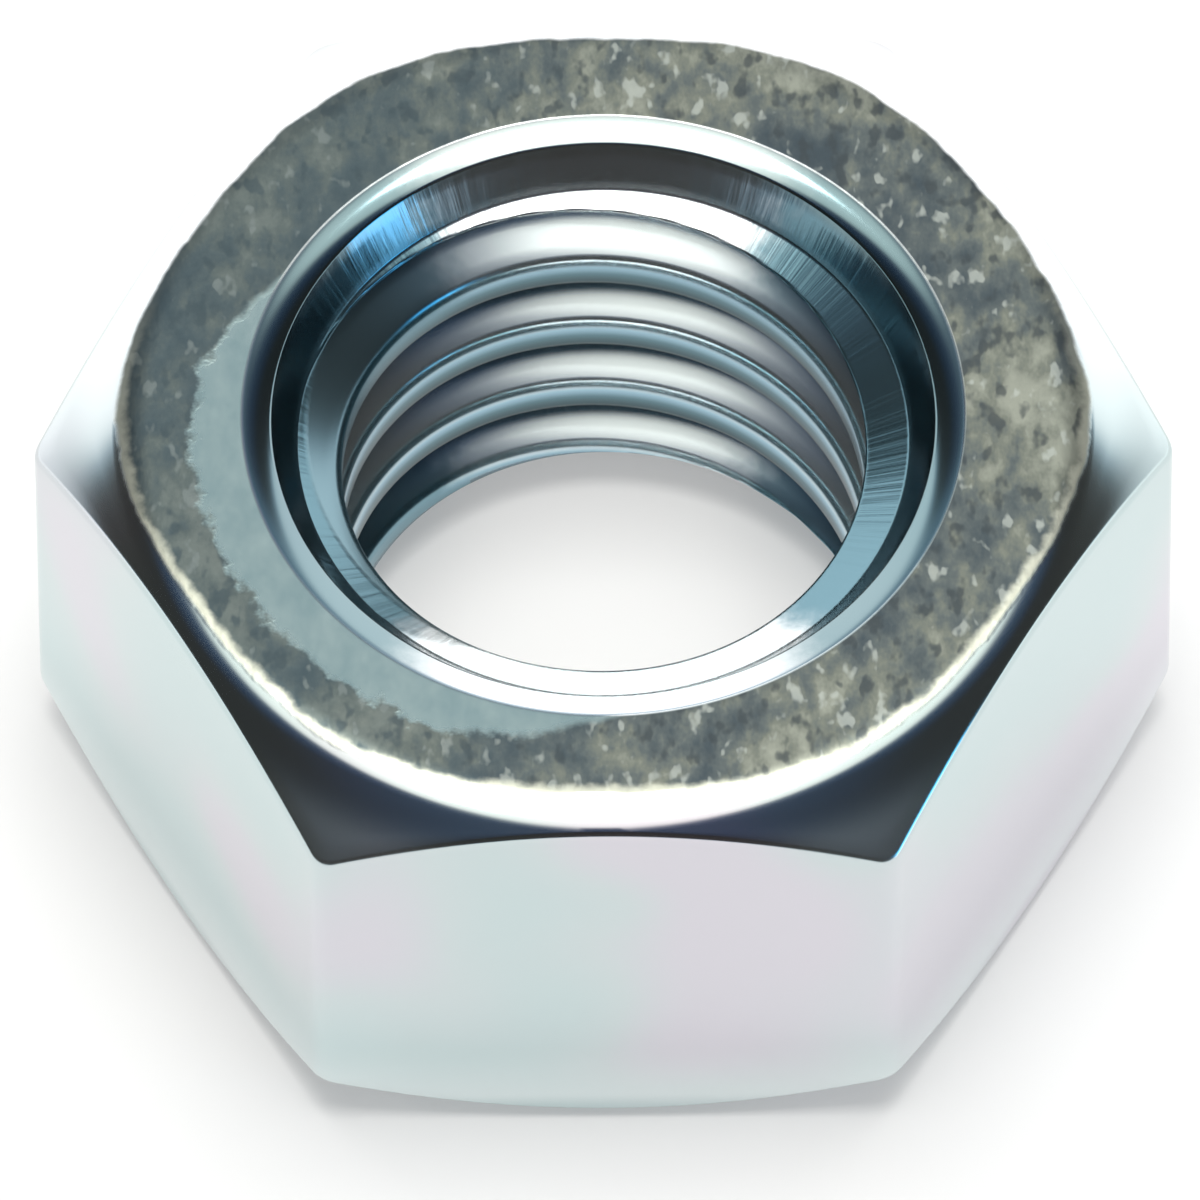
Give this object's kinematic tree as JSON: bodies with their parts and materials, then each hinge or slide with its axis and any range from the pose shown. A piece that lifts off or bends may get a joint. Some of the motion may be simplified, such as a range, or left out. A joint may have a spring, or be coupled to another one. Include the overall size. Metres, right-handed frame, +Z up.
{
  "type": "hex nut",
  "caption": "Plain hexagon nut in bright zinc plated steel, with chamfered corners, flat bearing faces and a right-hand threaded bore with a rounded mouth at each end.",
  "frame": {"origin": "on the thread axis, in the lower bearing face that the nut stands on", "axes": "+Z up along the thread axis; +X towards a corner, across corners; -Y towards the front wrench flat"},
  "size_m": [0.0146, 0.0126, 0.0068],
  "materials": {
    "zinc_plated_steel": "bright zinc plate with a clear blue passivation, faint cyan and pink tint, mottled on the forged bearing faces"
  },
  "bodies": {
    "root": {"hex_nut": "zinc_plated_steel"}
  },
  "joints": []
}
